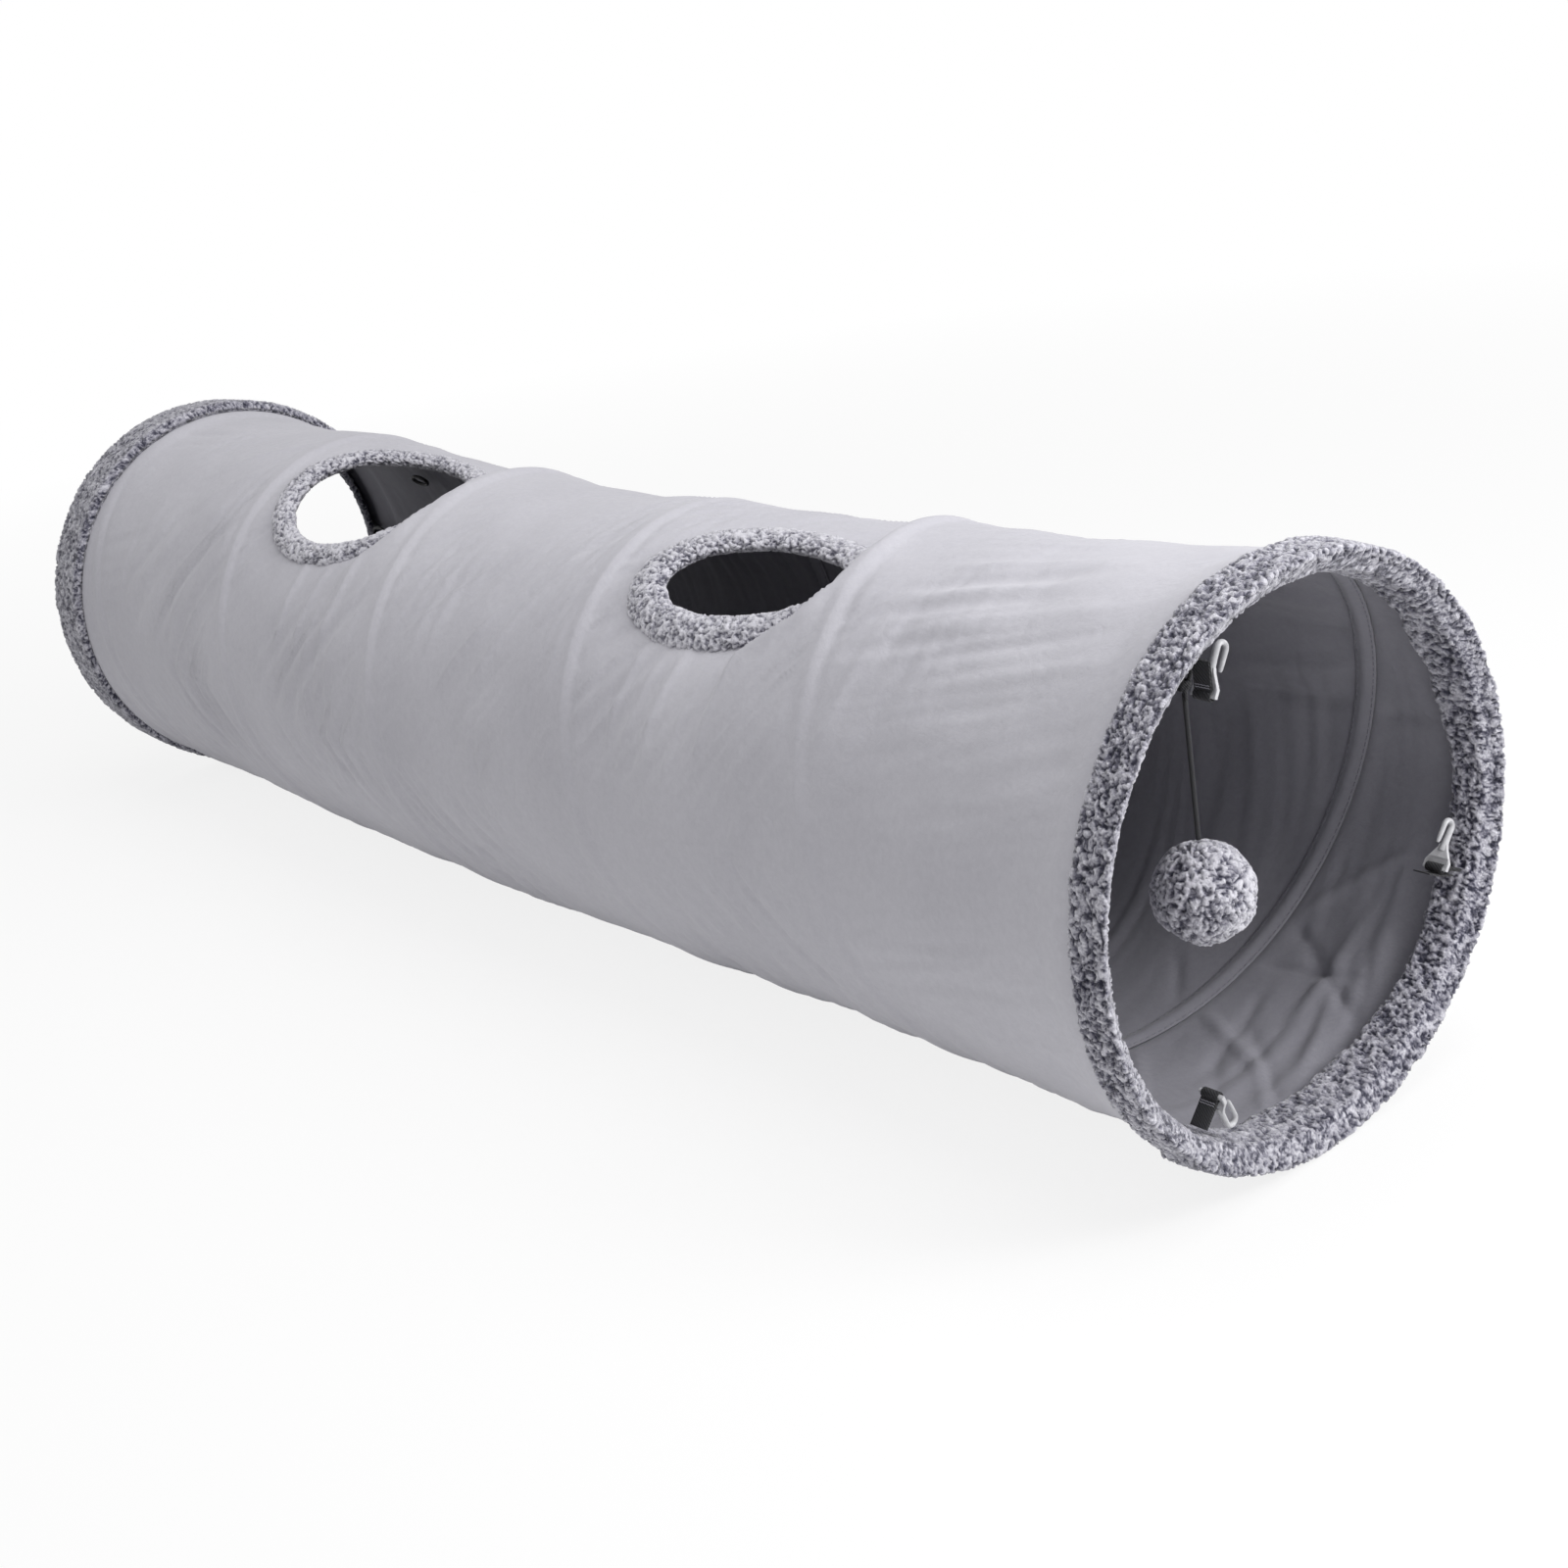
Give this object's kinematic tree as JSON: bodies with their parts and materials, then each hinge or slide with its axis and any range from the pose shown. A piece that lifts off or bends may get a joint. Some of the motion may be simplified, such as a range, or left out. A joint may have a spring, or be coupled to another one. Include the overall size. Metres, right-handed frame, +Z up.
{
  "type": "collapsible cat tunnel",
  "caption": "Spring-framed fabric play tunnel for cats with plush-bound open ends, plush-rimmed peep holes, a hanging ball toy and hook closures; it collapses flat along its length.",
  "frame": {"origin": "on the floor under the middle of the tunnel, at the bottom centre of its bounding box", "axes": "+X along the tunnel towards the near mouth that holds the ball toy, -Y the side that the peep holes lean to, +Z up"},
  "size_m": [1.2, 0.3114, 0.3113],
  "materials": {
    "near_binding": "curly plush pile in lavender grey with navy flecks",
    "near_hoop": "drawn spring steel wire",
    "near_ferrule": "crimped steel sleeve",
    "cover_section_1": "light grey woven polyester, slightly creased",
    "spring_wire": "drawn spring steel wire",
    "channel_tape": "grey woven tape",
    "closure_strap_upper": "black woven webbing",
    "closure_strap_back": "black woven webbing",
    "closure_strap_lower": "black woven webbing",
    "toy_hanger": "black covered elastic cord",
    "cover_section_2": "light grey woven polyester, slightly creased",
    "peephole_trim_near": "curly plush pile in lavender grey with navy flecks",
    "cover_section_3": "light grey woven polyester, slightly creased",
    "cover_section_4": "light grey woven polyester, slightly creased",
    "peephole_trim_far": "curly plush pile in lavender grey with navy flecks",
    "cover_section_5": "light grey woven polyester, slightly creased",
    "inner_loop": "black covered elastic cord",
    "far_binding": "curly plush pile in lavender grey with navy flecks",
    "far_hoop": "drawn spring steel wire",
    "far_ferrule": "crimped steel sleeve",
    "closure_loop_upper": "black covered elastic cord",
    "closure_loop_back": "black covered elastic cord",
    "closure_loop_lower": "black covered elastic cord",
    "closure_hook_upper": "moulded light grey plastic",
    "closure_hook_back": "moulded light grey plastic",
    "closure_hook_lower": "moulded light grey plastic",
    "toy_knot": "black covered elastic cord",
    "toy_cord": "black covered elastic cord",
    "toy_ball": "curly plush pile in lavender grey with navy flecks"
  },
  "bodies": {
    "near_end": {"near_binding": "near_binding", "near_hoop": "near_hoop", "near_ferrule": "near_ferrule", "cover_section_1": "cover_section_1", "spring_wire": "spring_wire", "channel_tape": "channel_tape", "closure_strap_upper": "closure_strap_upper", "closure_strap_back": "closure_strap_back", "closure_strap_lower": "closure_strap_lower", "toy_hanger": "toy_hanger"},
    "section_2": {"cover_section_2": "cover_section_2", "peephole_trim_near": "peephole_trim_near"},
    "section_3": {"cover_section_3": "cover_section_3"},
    "section_4": {"cover_section_4": "cover_section_4", "peephole_trim_far": "peephole_trim_far"},
    "section_5": {"cover_section_5": "cover_section_5", "inner_loop": "inner_loop"},
    "far_end": {"far_binding": "far_binding", "far_hoop": "far_hoop", "far_ferrule": "far_ferrule", "closure_loop_upper": "closure_loop_upper", "closure_loop_back": "closure_loop_back", "closure_loop_lower": "closure_loop_lower"},
    "hook_upper": {"closure_hook_upper": "closure_hook_upper"},
    "hook_back": {"closure_hook_back": "closure_hook_back"},
    "hook_lower": {"closure_hook_lower": "closure_hook_lower"},
    "toy_swivel": {"toy_knot": "toy_knot"},
    "toy": {"toy_cord": "toy_cord", "toy_ball": "toy_ball"}
  },
  "joints": [
    {"name": "collapse_1", "type": "slide", "parent": "near_end", "child": "section_2", "axis": [1, 0, 0], "range_m": [0, 0.21385], "stiffness_N_per_m": 35, "springref_m": -0.02, "deforming": ["cover_section_1", "spring_wire", "channel_tape"]},
    {"name": "collapse_2", "type": "slide", "parent": "section_2", "child": "section_3", "axis": [1, 0, 0], "range_m": [0, 0.21385], "stiffness_N_per_m": 35, "springref_m": -0.02, "deforming": ["cover_section_2", "peephole_trim_near"]},
    {"name": "collapse_3", "type": "slide", "parent": "section_3", "child": "section_4", "axis": [1, 0, 0], "range_m": [0, 0.21385], "stiffness_N_per_m": 35, "springref_m": -0.02, "deforming": ["cover_section_3"]},
    {"name": "collapse_4", "type": "slide", "parent": "section_4", "child": "section_5", "axis": [1, 0, 0], "range_m": [0, 0.21385], "stiffness_N_per_m": 35, "springref_m": -0.02, "deforming": ["cover_section_4", "peephole_trim_far"]},
    {"name": "collapse_5", "type": "slide", "parent": "section_5", "child": "far_end", "axis": [1, 0, 0], "range_m": [0, 0.2539], "stiffness_N_per_m": 35, "springref_m": -0.02, "deforming": ["cover_section_5", "inner_loop"]},
    {"name": "hook_turn_upper", "type": "hinge", "parent": "near_end", "child": "hook_upper", "pos_m": [0.588, -0.06065, 0.263], "axis": [-1, 0, 0], "range_deg": [0, 100]},
    {"name": "hook_turn_back", "type": "hinge", "parent": "near_end", "child": "hook_back", "pos_m": [0.582, 0.11152, 0.10601], "axis": [1, 0, 0], "range_deg": [0, 100]},
    {"name": "hook_turn_lower", "type": "hinge", "parent": "near_end", "child": "hook_lower", "pos_m": [0.588, -0.08133, 0.06533], "axis": [1, 0, 0], "range_deg": [0, 100]},
    {"name": "toy_swing_across", "type": "hinge", "parent": "near_end", "child": "toy_swivel", "pos_m": [0.572, -0.056, 0.26366], "axis": [1, 0, 0], "range_deg": [-24, 45]},
    {"name": "toy_swing_along", "type": "hinge", "parent": "toy_swivel", "child": "toy", "pos_m": [0.572, -0.056, 0.26366], "axis": [0, 1, 0], "range_deg": [-50, 50]}
  ],
  "couplings": [
    {"joint": "collapse_2", "follows": "collapse_1", "ratio": 1},
    {"joint": "collapse_3", "follows": "collapse_1", "ratio": 1},
    {"joint": "collapse_4", "follows": "collapse_1", "ratio": 1},
    {"joint": "collapse_5", "follows": "collapse_1", "ratio": 1.1868}
  ]
}
